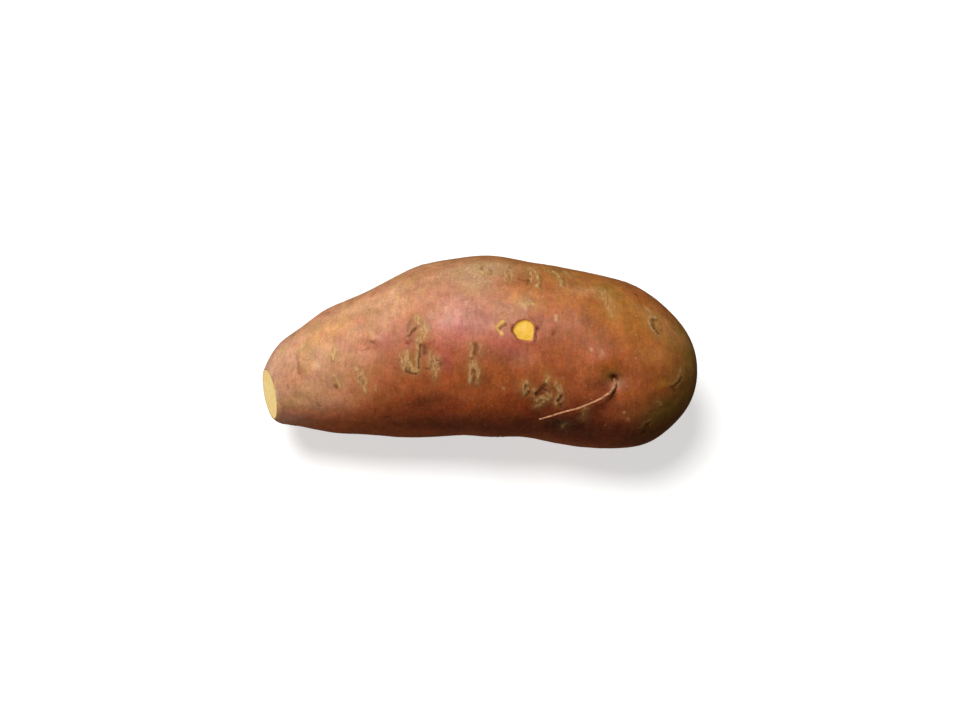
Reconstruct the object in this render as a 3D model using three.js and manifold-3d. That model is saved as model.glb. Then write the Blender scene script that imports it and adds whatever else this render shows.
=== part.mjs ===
// A sweet potato: one storage root with a knife-cut narrow end and a blunt round end.
// Millimetres. X runs along the root from the cut end to the blunt end, Y is sideways, Z is up.
// The root lies on its belly, on a small flat spot at Z = 0, with the origin under its middle.

import * as THREE from 'three';
import { mergeVertices } from 'three/addons/utils/BufferGeometryUtils.js';
import Module from 'manifold-3d';

// The root's axis and girth at even steps along it: sideways, height, radius.
const stationStep = 20;
const stations = [
  [-12.3, 26.4, 12.4],
  [-6.6, 27.9, 21.0],
  [-2.8, 29.4, 26.6],
  [1.6, 31.4, 31.6],
  [2.3, 32.4, 33.2],
  [0.6, 32.4, 32.6],
  [-3.2, 32.0, 32.5],
  [-6.0, 31.4, 32.3],
  [-6.9, 30.4, 29.5],
];
const stationSpan = stationStep * (stations.length - 1);
const middleAlong = 79.3;

// The narrow end is a short round nose, and the knife took its lower front off.
const noseTip = -0.5;
const noseLength = 9.5;
const cutPoint = new THREE.Vector3(-77.4, -15.7, 24.8);
const cutFacing = new THREE.Vector3(-0.905, -0.345, 0.25).normalize();

// The blunt end is a dome, a little fuller than an ellipsoid.
const domeTip = 159.0;
const domeLength = 46.0;
const domeFullness = 2.3;

// Slow lumps of the whole surface: height, waves along, waves around, phase.
const lumps = [
  [0.35, 2.3, 2, 0.4],
  [0.25, 3.7, 3, 1.9],
  [0.18, 5.9, 2, 4.1],
  [0.12, 8.3, 5, 2.2],
];

// Single swellings and hollows: along, degrees around, height, reach along, reach in degrees.
// Degrees run from the far side at 0 over the top at 90 to the near side at 180.
const swellings = [
  [125.7, 131.0, -1.7, 5.5, 9],
  [133.0, 118.0, 0.5, 8.0, 12],
  [30.6, 132.3, -0.6, 3.2, 7],
  [43.0, 104.7, 0.5, 2.6, 5],
  [149.0, 128.0, 0.6, 4.5, 10],
  [62.0, 124.0, -0.5, 5.0, 12],
  [22.5, 38.0, 0.9, 7.0, 26],
  [70.0, 325.0, 0.8, 24.0, 20],
  [112.0, 350.0, -0.8, 18.0, 16],
  [52.0, 215.0, 0.8, 15.0, 20],
  [138.0, 250.0, -0.8, 14.0, 18],
  [9.0, 214.0, -1.1, 7.0, 24],
  [118.0, 30.0, -0.9, 15.0, 22],
];

// Corky scars where side roots grew: along, degrees around, length across the root, width, turn.
const scars = [
  [58.2, 125.0, 9.5, 1.5, -4],
  [61.4, 116.0, 9.0, 1.7, 16],
  [55.8, 129.6, 7.4, 3.4, 20],
  [64.8, 135.0, 7.0, 2.6, -20],
  [58.6, 102.5, 3.2, 2.6, 0],
  [78.0, 123.6, 6.0, 2.6, 0],
  [78.4, 135.6, 8.2, 3.8, 0],
  [95.8, 144.9, 4.8, 2.8, -10],
  [99.6, 144.0, 5.0, 1.8, 30],
  [102.6, 145.0, 4.4, 1.8, -30],
  [101.2, 151.0, 4.6, 2.4, 60],
  [106.8, 146.5, 7.0, 1.7, 4],
  [105.2, 153.4, 3.6, 1.6, -40],
  [80.5, 60.0, 7.0, 5.0, 25],
  [89.8, 63.9, 10.0, 2.8, 0],
  [98.2, 60.5, 8.0, 1.7, -8],
  [101.0, 66.0, 9.0, 1.6, 14],
  [107.4, 62.7, 9.0, 1.8, 8],
  [122.4, 77.0, 10.0, 1.6, 20],
  [125.6, 84.0, 7.0, 1.5, 14],
  [140.0, 83.7, 6.8, 4.4, 0],
  [95.4, 93.3, 5.0, 4.4, -30],
  [28.9, 110.4, 4.6, 1.6, -14],
  [32.2, 127.0, 3.8, 1.5, -10],
  [38.8, 129.5, 7.4, 1.6, 16],
  [42.2, 137.0, 3.6, 1.3, 10],
  [150.4, 130.5, 7.6, 2.2, -22],
  [140.1, 143.4, 3.8, 3.0, 0],
  [133.5, 140.4, 2.6, 1.6, 30],
  [111.2, 162.3, 4.4, 1.6, -10],
  [113.8, 169.2, 2.2, 3.4, 0],
];
const scarStandsOut = 0.45;
const scarThickness = 1.3;

// More such scars are spread over the far side and the belly, each a golden turn from the last.
// Their length, width and turn each go through a few sizes: the least, the step and how many.
const hiddenScars = 24;
const hiddenFrom = 196;
const hiddenSweep = 206;
const goldenTurn = 0.618034;
const hiddenFirst = 12;
const hiddenStep = 5.8;
const hiddenLengths = [4.5, 1.1, 5];
const hiddenWidths = [1.7, 0.5, 4];
const hiddenTurns = [-18, 9, 5];
const bellyMiddle = 270;
const bellyClear = 16;

// Pits and slits: along, degrees around, length across the root, width, turn, depth.
const pits = [
  [125.7, 130.6, 3.6, 3.0, 0, 1.6],
  [56.9, 111.5, 5.6, 1.2, -30, 0.8],
  [60.2, 125.5, 5.0, 1.4, -6, 0.8],
  [55.6, 133.0, 1.6, 1.4, 0, 0.7],
  [78.4, 129.5, 2.4, 1.4, 0, 0.6],
  [101.1, 146.4, 2.8, 1.4, 20, 0.9],
  [97.4, 69.0, 2.0, 1.4, 0, 0.6],
  [140.0, 83.7, 3.0, 1.6, 0, 0.6],
  [30.6, 133.0, 1.8, 1.5, 0, 0.6],
  [16.2, 112.8, 7.0, 1.0, 0, 0.5],
  [152.2, 132.5, 4.8, 1.2, -24, 0.7],
  [86.8, 108.3, 3.6, 1.4, -26, 0.5],
];
const pitThickness = 1.4;

// A patch of torn skin that bares the flesh: its corners along and up the root from its middle.
const tornAlong = 95.2;
const tornDegrees = 109.8;
const tornDepth = 0.55;
const clearOfSkin = 3;
const tornCorners = [
  [-2.2, 3.7],
  [1.1, 4.1],
  [3.0, 3.3],
  [3.7, 0.3],
  [2.6, -4.1],
  [-2.2, -2.8],
  [-4.4, -0.4],
];

// A dry rootlet grows out of the deep pit and lies back over the skin: along, degrees, lift.
const rootletRoute = [
  [125.7, 131.5, -2.2],
  [125.8, 134.0, 0.5],
  [122.4, 140.6, 2.0],
  [116.8, 147.0, 2.3],
  [109.3, 155.6, 2.0],
  [100.6, 165.4, 1.5],
];
const rootletBaseRadius = 0.75;
const rootletTipRadius = 0.35;
const rootletSides = 8;
const rootletSteps = 20;

// How far apart the points are that give the skin's slope at a mark, along it and in radians around.
const slopeReach = 0.5;
const slopeTurn = 0.01;

// How finely the surface is divided.
const sidesAround = 48;
const noseRings = 6;
const trunkRings = 33;
const domeRings = 17;
const markSides = 10;
const markRings = 6;

const shape = new THREE.CatmullRomCurve3(
  stations.map((station) => new THREE.Vector3(...station)),
  false,
  'catmullrom',
  0.5,
);

function endNarrowing(along) {
  const intoNose = THREE.MathUtils.clamp((noseTip + noseLength - along) / noseLength, 0, 1);
  const intoDome = THREE.MathUtils.clamp((along - domeTip + domeLength) / domeLength, 0, 1);
  const nose = Math.sqrt(1 - intoNose ** 2);
  const dome = (1 - intoDome ** domeFullness) ** (1 / domeFullness);
  return nose * dome;
}

function surfaceRelief(along, around) {
  let height = 0;
  for (const [size, wavesAlong, wavesAround, phase] of lumps) {
    const lengthwise = Math.sin((2 * Math.PI * wavesAlong * along) / stationSpan + phase);
    height += size * lengthwise * Math.cos(wavesAround * around + 2.1 * phase);
  }
  const degrees = THREE.MathUtils.radToDeg(around);
  for (const [atAlong, atDegrees, size, reachAlong, reachDegrees] of swellings) {
    const apart = THREE.MathUtils.euclideanModulo(degrees - atDegrees + 180, 360) - 180;
    height += size * Math.exp(-(((along - atAlong) / reachAlong) ** 2) - (apart / reachDegrees) ** 2);
  }
  return height;
}

function skinPoint(along, around) {
  const station = shape.getPoint(THREE.MathUtils.clamp(along / stationSpan, 0, 1));
  const radius = endNarrowing(along) * (station.z + surfaceRelief(along, around));
  return new THREE.Vector3(
    along - middleAlong,
    station.x + radius * Math.cos(around),
    station.y + radius * Math.sin(around),
  );
}

// The place of a mark on the skin: X along the root, Y across it to fewer degrees, Z straight out.
function skinPlace(along, degrees) {
  const around = THREE.MathUtils.degToRad(degrees);
  const ahead = skinPoint(along + slopeReach, around);
  const lengthwise = ahead.sub(skinPoint(along - slopeReach, around)).normalize();
  const across = skinPoint(along, around + slopeTurn).sub(skinPoint(along, around - slopeTurn));
  const outward = across.cross(lengthwise).normalize();
  const crosswise = outward.clone().cross(lengthwise);
  return new THREE.Matrix4()
    .makeBasis(crosswise.clone().cross(outward), crosswise, outward)
    .setPosition(skinPoint(along, around));
}

// A closed body: rings of points from a start point to an end point.
function closedBody(start, rings, end) {
  const sides = rings[0].length;
  const points = [start, ...rings.flat(), end];
  const endIndex = points.length - 1;
  const lastRing = 1 + sides * (rings.length - 1);
  const triangles = [];
  for (let side = 0; side < sides; side++) {
    const next = (side + 1) % sides;
    triangles.push(0, 1 + next, 1 + side);
    for (let ring = 1; ring < lastRing; ring += sides) {
      triangles.push(ring + side, ring + next, ring + sides + side);
      triangles.push(ring + next, ring + sides + next, ring + sides + side);
    }
    triangles.push(endIndex, lastRing + side, lastRing + next);
  }
  const geometry = new THREE.BufferGeometry().setFromPoints(points);
  geometry.setIndex(triangles);
  return geometry;
}

function wholeRoot() {
  const stops = [];
  for (let i = 1; i <= noseRings; i++) {
    stops.push(noseTip + noseLength * (1 - Math.cos((0.5 * Math.PI * i) / noseRings)));
  }
  const domeStart = domeTip - domeLength;
  for (let i = 1; i <= trunkRings; i++) {
    stops.push(THREE.MathUtils.lerp(noseTip + noseLength, domeStart, i / trunkRings));
  }
  for (let i = 1; i < domeRings; i++) {
    stops.push(domeStart + domeLength * Math.sin((0.5 * Math.PI * i) / domeRings));
  }
  const rings = stops.map((along) => {
    const ring = [];
    for (let side = 0; side < sidesAround; side++) {
      ring.push(skinPoint(along, (2 * Math.PI * side) / sidesAround));
    }
    return ring;
  });
  return closedBody(skinPoint(noseTip, 0), rings, skinPoint(domeTip, 0));
}

// A flattened egg shape that stands out of the skin, or bites into it where lift is below zero.
function skinLens(along, degrees, length, width, turn, thickness, lift) {
  return new THREE.SphereGeometry(1, markSides, markRings)
    .scale(width / 2, length / 2, thickness)
    .rotateZ(THREE.MathUtils.degToRad(turn))
    .translate(0, 0, lift)
    .applyMatrix4(skinPlace(along, degrees));
}

function scar([along, degrees, length, width, turn]) {
  return skinLens(along, degrees, length, width, turn, scarThickness, scarStandsOut - scarThickness);
}

function pit([along, degrees, length, width, turn, depth]) {
  return skinLens(along, degrees, length, width, turn, pitThickness, pitThickness - depth);
}

function sizeInTurn([least, step, kinds], i) {
  return least + step * (i % kinds);
}

function spreadScars() {
  const spread = [];
  for (let i = 0; i < hiddenScars; i++) {
    const degrees = hiddenFrom + hiddenSweep * ((i * goldenTurn) % 1);
    if (Math.abs(degrees - bellyMiddle) > bellyClear) {
      spread.push([
        hiddenFirst + hiddenStep * i,
        degrees,
        sizeInTurn(hiddenLengths, i),
        sizeInTurn(hiddenWidths, i),
        sizeInTurn(hiddenTurns, i),
      ]);
    }
  }
  return spread;
}

function tornPatch() {
  const outline = new THREE.Shape(tornCorners.map(([x, y]) => new THREE.Vector2(x, y)));
  return new THREE.ExtrudeGeometry(outline, { depth: tornDepth + clearOfSkin, bevelEnabled: false })
    .translate(0, 0, -tornDepth)
    .applyMatrix4(skinPlace(tornAlong, tornDegrees));
}

function rootlet() {
  const lifted = rootletRoute.map(([along, degrees, lift]) => (
    new THREE.Vector3(0, 0, lift).applyMatrix4(skinPlace(along, degrees))
  ));
  const route = new THREE.CatmullRomCurve3(lifted, false, 'centripetal');
  const frames = route.computeFrenetFrames(rootletSteps);
  const rings = [];
  for (let i = 0; i <= rootletSteps; i++) {
    const centre = route.getPointAt(i / rootletSteps);
    const radius = THREE.MathUtils.lerp(rootletBaseRadius, rootletTipRadius, i / rootletSteps);
    const ring = [];
    for (let side = 0; side < rootletSides; side++) {
      const angle = (2 * Math.PI * side) / rootletSides;
      ring.push(centre.clone()
        .addScaledVector(frames.normals[i], radius * Math.cos(angle))
        .addScaledVector(frames.binormals[i], radius * Math.sin(angle)));
    }
    rings.push(ring);
  }
  return closedBody(route.getPoint(0), rings, route.getPoint(1));
}

// Blocks of air that the root is trimmed by: past the knife cut, and below the resting surface.
function cutAway() {
  const size = 2 * stations[1][2] + noseLength;
  const facing = new THREE.Quaternion().setFromUnitVectors(new THREE.Vector3(0, 0, 1), cutFacing);
  const centre = cutPoint.clone().addScaledVector(cutFacing, size / 2);
  return new THREE.BoxGeometry(size, size, size).applyQuaternion(facing).translate(...centre);
}

function belowTable() {
  const side = 2 * domeTip;
  return new THREE.BoxGeometry(side, side, side).translate(0, 0, -side / 2);
}

const wasm = await Module();
wasm.setup();

function solid(geometry) {
  const bare = geometry.clone();
  bare.deleteAttribute('normal');
  bare.deleteAttribute('uv');
  const merged = mergeVertices(bare, 1e-5);
  return new wasm.Manifold(new wasm.Mesh({
    numProp: 3,
    vertProperties: new Float32Array(merged.attributes.position.array),
    triVerts: new Uint32Array(merged.index.array),
  }));
}

function surfaceOf(body) {
  const mesh = body.getMesh();
  const geometry = new THREE.BufferGeometry();
  geometry.setAttribute('position', new THREE.BufferAttribute(mesh.vertProperties, 3));
  geometry.setIndex(new THREE.BufferAttribute(mesh.triVerts, 1));
  geometry.computeVertexNormals();
  return geometry;
}

function sweetPotato() {
  let root = solid(wholeRoot());
  for (const mark of [...scars, ...spreadScars()]) {
    root = root.add(solid(scar(mark)));
  }
  for (const mark of pits) {
    root = root.subtract(solid(pit(mark)));
  }
  root = root.subtract(solid(tornPatch()));
  root = root.add(solid(rootlet()));
  root = root.subtract(solid(cutAway()));
  root = root.subtract(solid(belowTable()));
  return surfaceOf(root);
}

const skin = new THREE.MeshStandardMaterial({ color: 0xb3735a, roughness: 0.6, metalness: 0 });
const sweetPotatoMesh = new THREE.Mesh(sweetPotato(), skin);
sweetPotatoMesh.name = 'sweet_potato';

const group = new THREE.Group();
group.name = 'root_vegetable';
group.add(sweetPotatoMesh);

export default group;
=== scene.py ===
import math

import bpy
import numpy as np
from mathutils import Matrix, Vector


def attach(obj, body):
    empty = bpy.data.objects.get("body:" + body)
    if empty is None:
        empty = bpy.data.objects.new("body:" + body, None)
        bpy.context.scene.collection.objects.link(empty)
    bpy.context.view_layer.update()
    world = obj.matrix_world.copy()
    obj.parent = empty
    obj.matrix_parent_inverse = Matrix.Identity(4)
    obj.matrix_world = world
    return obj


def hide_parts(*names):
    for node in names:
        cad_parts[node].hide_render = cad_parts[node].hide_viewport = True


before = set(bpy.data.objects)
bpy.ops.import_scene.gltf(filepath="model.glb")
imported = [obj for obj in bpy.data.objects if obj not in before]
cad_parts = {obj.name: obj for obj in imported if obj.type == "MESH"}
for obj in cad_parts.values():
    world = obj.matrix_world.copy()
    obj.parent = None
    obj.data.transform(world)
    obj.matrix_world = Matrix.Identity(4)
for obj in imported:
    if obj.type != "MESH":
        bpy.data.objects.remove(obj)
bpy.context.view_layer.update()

# The sweet potato is worked out in millimetres and handed to Blender in metres.
MM = 0.001
NODE = "sweet_potato"

# The root's axis and girth at even steps along it: sideways, height, radius.
STATION_STEP = 20.0
STATIONS = np.array([
    (-12.3, 26.4, 12.4),
    (-6.6, 27.9, 21),
    (-2.8, 29.4, 26.6),
    (1.6, 31.4, 31.6),
    (2.3, 32.4, 33.2),
    (0.6, 32.4, 32.6),
    (-3.2, 32, 32.5),
    (-6, 31.4, 32.3),
    (-6.9, 30.4, 29.5),
])
STATION_SPAN = STATION_STEP * (len(STATIONS) - 1)
MIDDLE_ALONG = 79.3

# The narrow end is a short round nose with its lower front cut off by a knife.
NOSE_TIP = -0.5
NOSE_LENGTH = 9.5
CUT_POINT = np.array([-77.4, -15.7, 24.8])
CUT_FACING = np.array([-0.905, -0.345, 0.25])
CUT_FACING = CUT_FACING / np.linalg.norm(CUT_FACING)

# The blunt end is a dome, a little fuller than an ellipsoid.
DOME_TIP = 159.0
DOME_LENGTH = 46.0
DOME_FULLNESS = 2.3

# Slow lumps of the whole surface: height, waves along, waves around, phase.
LUMPS = [
    (0.35, 2.3, 2, 0.4),
    (0.25, 3.7, 3, 1.9),
    (0.18, 5.9, 2, 4.1),
    (0.12, 8.3, 5, 2.2),
]

# Single swellings and hollows: along, degrees around, height, reach along, reach in degrees.
# Degrees run from the far side at 0 over the top at 90 to the near side at 180.
SWELLINGS = [
    (125.7, 131, -1.7, 5.5, 9),
    (133, 118, 0.5, 8, 12),
    (30.6, 132.3, -0.6, 3.2, 7),
    (43, 104.7, 0.5, 2.6, 5),
    (149, 128, 0.6, 4.5, 10),
    (62, 124, -0.5, 5, 12),
    (22.5, 38, 0.9, 7, 26),
    (70, 325, 0.8, 24, 20),
    (112, 350, -0.8, 18, 16),
    (52, 215, 0.8, 15, 20),
    (138, 250, -0.8, 14, 18),
    (9, 214, -1.1, 7, 24),
    (118, 30, -0.9, 15, 22),
]

# Marks on the skin: how strongly each shows, its half width, and the line it follows
# through places given as (along, degrees).
# Cork is the flaky straw-coloured bark where a side root grew. It stands out of the skin.
CORK_MARKS = [
    (0.9, 0.45, [(58.1, 99), (58.8, 102), (59.5, 104.8)]),
    (0.6, 0.22, [(57.2, 105.5), (56.1, 107.5), (55.3, 109)]),
    (0.95, 0.36, [(58.9, 112.8), (58.9, 118.5), (58.7, 125.2), (58.4, 133.8)]),
    (0.75, 0.55, [(60.9, 104.8), (61.5, 108.8), (61.5, 113)]),
    (0.8, 0.4, [(60, 108.8), (60.7, 111)]),
    (0.5, 0.9, [(59.9, 110), (60, 115)]),
    (0.6, 0.45, [(63.1, 123.2), (63.1, 128.2), (62.4, 133)]),
    (0.75, 0.6, [(53.4, 122), (53.5, 127.5), (54.5, 131.8)]),
    (0.9, 0.4, [(54.9, 120.5), (55.5, 125.5), (56.3, 130.5), (57.9, 134.8)]),
    (0.65, 0.6, [(54.2, 123.8), (55, 129.2), (56.3, 133)]),
    (0.8, 0.85, [(64.9, 127.2), (65, 130.8), (64.3, 134.5)]),
    (0.75, 0.4, [(65.7, 133), (65.1, 136.2), (64.5, 140.2)]),
    (0.8, 0.4, [(77.2, 119.8), (77.1, 123.2), (77.2, 127)]),
    (0.4, 0.4, [(80, 120.2), (80.1, 125.5)]),
    (0.75, 0.45, [(77.4, 129.8), (77, 133.2), (76.7, 137.5), (76.6, 142)]),
    (0.75, 0.45, [(78.2, 130), (79.5, 133.2), (79.6, 138.5), (78.7, 142.2)]),
    (0.85, 0.5, [(77.9, 132), (78.4, 134)]),
    (0.85, 0.42, [
        (95.7, 140.5), (96.6, 142.5), (96.3, 146.8), (95.2, 149.2), (94.6, 145.5), (95.2, 141.8),
    ]),
    (0.8, 0.45, [(102.9, 136), (102.6, 140.8)]),
    (0.8, 0.5, [(103.1, 146), (104.1, 148.8)]),
    (0.85, 0.5, [(99.6, 153), (101.5, 149.5), (103.2, 150.8)]),
    (0.8, 0.45, [(99.5, 157.3), (101.6, 155), (102.1, 152)]),
    (0.75, 0.45, [(98.8, 145.2), (98.4, 150)]),
    (0.85, 0.42, [(105.9, 138.8), (107, 144.5), (106.6, 149.2), (105.9, 153.8)]),
    (0.5, 0.35, [(107.4, 139.8), (107.9, 144.8)]),
    (0.7, 0.35, [(108.3, 149), (107.7, 152)]),
    (0.95, 0.48, [(98.7, 58.8), (100, 65.8), (100.6, 71.8), (99.8, 77.8)]),
    (0.8, 0.42, [(97.4, 60.8), (98.1, 70), (97.6, 73.8)]),
    (0.45, 1, [(97.8, 57), (99.4, 62)]),
    (0.9, 0.5, [(105.9, 56.5), (107.9, 64.5), (108.4, 73.8)]),
    (0.5, 0.8, [(104, 58), (107.2, 61)]),
    (0.75, 0.42, [(110.2, 54.5), (111.5, 62)]),
    (0.8, 0.32, [(90, 57.2), (90, 67.5)]),
    (0.8, 0.34, [(90.9, 63.5), (90.7, 75.2)]),
    (0.75, 0.34, [(89.2, 66.8), (89, 74.8)]),
    (0.85, 0.4, [(80.1, 63.5), (80.7, 68.5), (82.1, 70.5)]),
    (0.9, 0.45, [(82.9, 67.5), (83.2, 68.5)]),
    (0.6, 0.6, [(79, 60), (81.2, 59.5)]),
    (0.55, 0.5, [(121, 70.2), (122.5, 77.8), (124, 84.8), (125.1, 90.8)]),
    (0.45, 0.4, [(122.9, 69.8), (125.2, 78.8), (126.4, 86.5)]),
    (0.95, 0.38, [(141.4, 79.4), (139.4, 80.4), (138.5, 86), (139.4, 92.2), (141, 94.4)]),
    (0.9, 0.32, [(29.3, 103), (29.3, 108.2), (29.2, 113.2)]),
    (0.8, 0.3, [(28.2, 106.8), (28.7, 113)]),
    (0.5, 0.3, [(30.3, 104), (30, 106)]),
    (0.75, 0.3, [(29.5, 125.7), (30.7, 132.2), (31.8, 136.5)]),
    (0.75, 0.34, [(37.4, 122.8), (38.9, 128.8)]),
    (0.7, 0.34, [(37.9, 127.2), (39.2, 134.2)]),
    (0.85, 0.36, [(39, 134.2), (40.3, 142.5)]),
    (0.6, 0.34, [(37.2, 129.8), (38.3, 134.8)]),
    (0.55, 0.34, [(39.9, 126.8), (40.7, 136.2)]),
    (0.7, 0.28, [(149.8, 120.8), (149.3, 126.3), (148, 130.5), (146.1, 133)]),
    (0.55, 0.32, [(141, 145.8), (142, 146.2), (142.4, 148.5)]),
    (0.55, 0.3, [(115.5, 160.8), (116, 156.5), (116.3, 152.5)]),
    (0.45, 0.28, [(108.7, 172.5), (110, 168.5)]),
    (0.4, 0.9, [(95, 91.5), (97.6, 93)]),
    (0.5, 0.28, [(136, 166), (137.2, 162), (139.3, 160)]),
]
CORK_RISE = 0.2

# Slits, cracks and dimples go into the skin; their dark colour paints the shade inside them.
SLIT_MARKS = [
    (1, 0.26, [(58.1, 106.8), (56.8, 108.8), (55.6, 110.8)]),
    (0.35, 0.25, [(56, 100.2), (55.1, 102.8), (54.9, 105.8)]),
    (0.7, 0.2, [(54.6, 114.2), (55.1, 114.8)]),
    (0.9, 0.26, [(59.8, 117.5), (59.4, 122.5), (59, 127.5), (58.9, 132.5)]),
    (0.75, 0.75, [(60.9, 118.5), (61.6, 121), (61.3, 123.5)]),
    (0.45, 0.22, [(63.5, 124), (63.5, 128.8), (63.1, 132.5)]),
    (0.75, 0.22, [(61.5, 133.2), (62.6, 133.2)]),
    (1, 0.4, [(54.9, 132.8), (55.4, 133.2)]),
    (0.85, 0.2, [(55.9, 134), (57.1, 136), (58.1, 136.5)]),
    (0.55, 0.14, [(63.8, 128.5), (66.3, 128.8)]),
    (0.55, 0.14, [(63.8, 130.5), (66.3, 130.8)]),
    (0.5, 0.14, [(63.8, 132), (65.9, 132.5)]),
    (0.8, 0.2, [(66.7, 130), (66.8, 131.5)]),
    (0.35, 0.18, [(50.5, 124.2), (52.6, 125)]),
    (0.7, 0.7, [(78.7, 119.3), (78.7, 122), (78.4, 125)]),
    (0.75, 0.2, [(77, 128), (77.6, 128)]),
    (0.75, 0.3, [(77.8, 135.5), (78.4, 136.5)]),
    (0.5, 0.25, [(77.8, 139), (77.7, 141.8)]),
    (0.7, 0.28, [(95.7, 143.2), (96, 145)]),
    (0.85, 0.26, [(96.7, 146.8), (95.9, 150)]),
    (1, 0.5, [(99.4, 148.5), (100.7, 145.2), (101.8, 143), (102.3, 141.2)]),
    (0.95, 0.32, [(101.7, 144.8), (103.5, 145.5)]),
    (0.85, 0.26, [(99.8, 148.8), (101.6, 147.2)]),
    (0.9, 0.28, [(107.6, 147.2), (106.8, 152)]),
    (0.85, 0.32, [(108.1, 153), (107.7, 155.8)]),
    (0.5, 0.28, [(105.7, 142.8), (105.9, 146)]),
    (0.95, 0.3, [(96.7, 72.2), (96.9, 73.8)]),
    (0.55, 0.35, [(93.3, 72.5), (95.1, 73.5), (96.8, 73), (96.5, 76.5)]),
    (0.45, 0.22, [(101.1, 66.5), (101.5, 72), (100.6, 77.8)]),
    (0.45, 0.22, [(97, 61.8), (97.3, 69)]),
    (0.45, 0.22, [(109.1, 66), (109.2, 73.5)]),
    (0.4, 0.2, [(90.5, 58.2), (90.4, 66.2)]),
    (0.4, 0.2, [(89.8, 68.5), (89.9, 74.5)]),
    (0.5, 0.26, [(80.9, 61.8), (80.6, 66)]),
    (0.45, 0.26, [(83.5, 64.8), (84.2, 68), (83.7, 71)]),
    (0.25, 0.26, [(97.1, 91.5), (97.2, 96.8)]),
    (0.85, 0.28, [(141.8, 81), (140.1, 82), (139.3, 87), (140.1, 91.5), (141.4, 93.4)]),
    (0.5, 0.24, [(143.1, 83), (143.3, 87), (142.6, 91)]),
    (0.85, 0.48, [(88.5, 107), (87.4, 108.8), (86.6, 110.2)]),
    (0.7, 0.26, [(87.4, 104.5), (88.3, 104.8)]),
    (0.75, 0.28, [(91.3, 107), (90.9, 109.8), (91.1, 111.5)]),
    (0.95, 0.42, [(99, 107.5), (99.6, 108.4)]),
    (0.85, 0.26, [(99, 109), (98.8, 112), (98.3, 115.5)]),
    (0.7, 0.28, [(104.6, 109.8), (105.2, 108.8)]),
    (0.28, 0.3, [(16.1, 91), (15.6, 99.5), (16.7, 109.2)]),
    (0.5, 0.4, [(16.2, 105.8), (16.6, 111.2), (16.7, 117.3)]),
    (0.4, 0.34, [(12.3, 127), (12.6, 129.5)]),
    (0.75, 0.45, [(29.5, 135.2), (30.1, 137.2)]),
    (0.5, 0.24, [(38.7, 131), (39.5, 135.8)]),
    (0.55, 0.25, [(42.2, 105.5), (43.4, 107.8)]),
    (0.4, 0.16, [(38.9, 110.8), (41.7, 110.5)]),
    (0.85, 0.3, [(149.9, 127.2), (148.8, 131.2), (147.2, 134.8)]),
    (0.55, 0.5, [(146.2, 135.2), (147.2, 139.3)]),
    (0.7, 0.24, [(138.6, 163.2), (137.8, 168.5), (137.2, 174.5)]),
    (0.75, 0.36, [(135.1, 61.2), (135.3, 63.4)]),
    (0.6, 0.3, [(148.1, 71), (148.3, 72.4)]),
    (0.6, 0.3, [(148.1, 80.4), (148.3, 81.6)]),
    (0.4, 0.22, [(121.3, 72.8), (121.6, 76)]),
    (0.45, 0.2, [(22.8, 150), (23.4, 154)]),
]
SLIT_DEPTH = 0.35

# How far a mark fades out beyond its half width, and its stain beyond that.
MARK_SOFTNESS = 0.2
STAIN_REACH = 1.7
LINE_REACH = 3.5
FAR_FROM_LINE = 9.0

# Marks wander off their lines by two layers of noise: height, size, added to the seed.
MARK_WANDER = [(0.3, 1.5, 0), (0.22, 0.7, 2)]
WANDER_SEEDS = (11, 12)

# Pale spots are worn or healed skin.
PALE_MARKS = [
    (0.7, 0.8, [(23, 113.2), (23.5, 116)]),
    (0.55, 0.75, [(42.2, 98), (43.1, 103.5)]),
    (0.75, 0.35, [(106, 97.5), (105.9, 100.8)]),
    (0.8, 0.22, [(117.3, 114.2), (117.4, 115)]),
    (0.35, 0.7, [(121.2, 114), (121.2, 118.2)]),
    (0.75, 0.22, [(129.3, 152), (129.4, 152.5)]),
    (0.45, 0.3, [(130.9, 156.8), (131.3, 158.5)]),
    (0.35, 0.4, [(16.4, 76.2), (17.2, 90)]),
    (0.45, 0.28, [(15.4, 113), (14.4, 120)]),
    (0.6, 0.2, [(43.8, 138.8), (43.7, 142)]),
    (0.5, 0.26, [(68.4, 95.8), (68.5, 99)]),
    (0.45, 0.22, [(75, 93), (76.2, 93)]),
    (0.35, 0.3, [(97, 83), (97.4, 84.6)]),
    (0.45, 0.3, [(87.9, 145.2), (88.3, 145.8)]),
    (0.35, 1.2, [(84, 107.5), (84.3, 109)]),
    (0.4, 0.6, [(93.8, 91.5), (94.8, 95)]),
    (0.6, 0.4, [(95, 92.5), (95.9, 96.5)]),
    (0.45, 0.5, [(138.2, 74), (138.6, 76)]),
]

# Nicks bare a line of flesh.
NICK_MARKS = [
    (0.95, 0.34, [(87.9, 105), (86.5, 107.3), (85.5, 109.2), (86.5, 111.2), (87.4, 112.8)]),
    (0.6, 0.26, [(97.6, 92.2), (98.2, 92.3)]),
]

# The same kinds of scar are spread over the far side and the belly by a golden turn.
# Their lengths, widths and leans in degrees are taken in turn.
HIDDEN_SCARS = 24
HIDDEN_FROM = 196
HIDDEN_SWEEP = 206
GOLDEN_TURN = 0.618034
HIDDEN_FIRST = 12
HIDDEN_STEP = 5.8
HIDDEN_LENGTHS = (4.5, 5.6, 6.7, 7.8, 8.9)
HIDDEN_WIDTHS = (1.7, 2.2, 2.7, 3.2)
HIDDEN_LEANS = (-18, -9, 0, 9, 18)
BELLY_MIDDLE = 270
BELLY_CLEAR = 16

# The deep pit that the rootlet grows out of.
PIT_PLACE = (125.7, 130.6)
PIT_RADIUS = 1.5
PIT_DEPTH = 1.7

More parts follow.
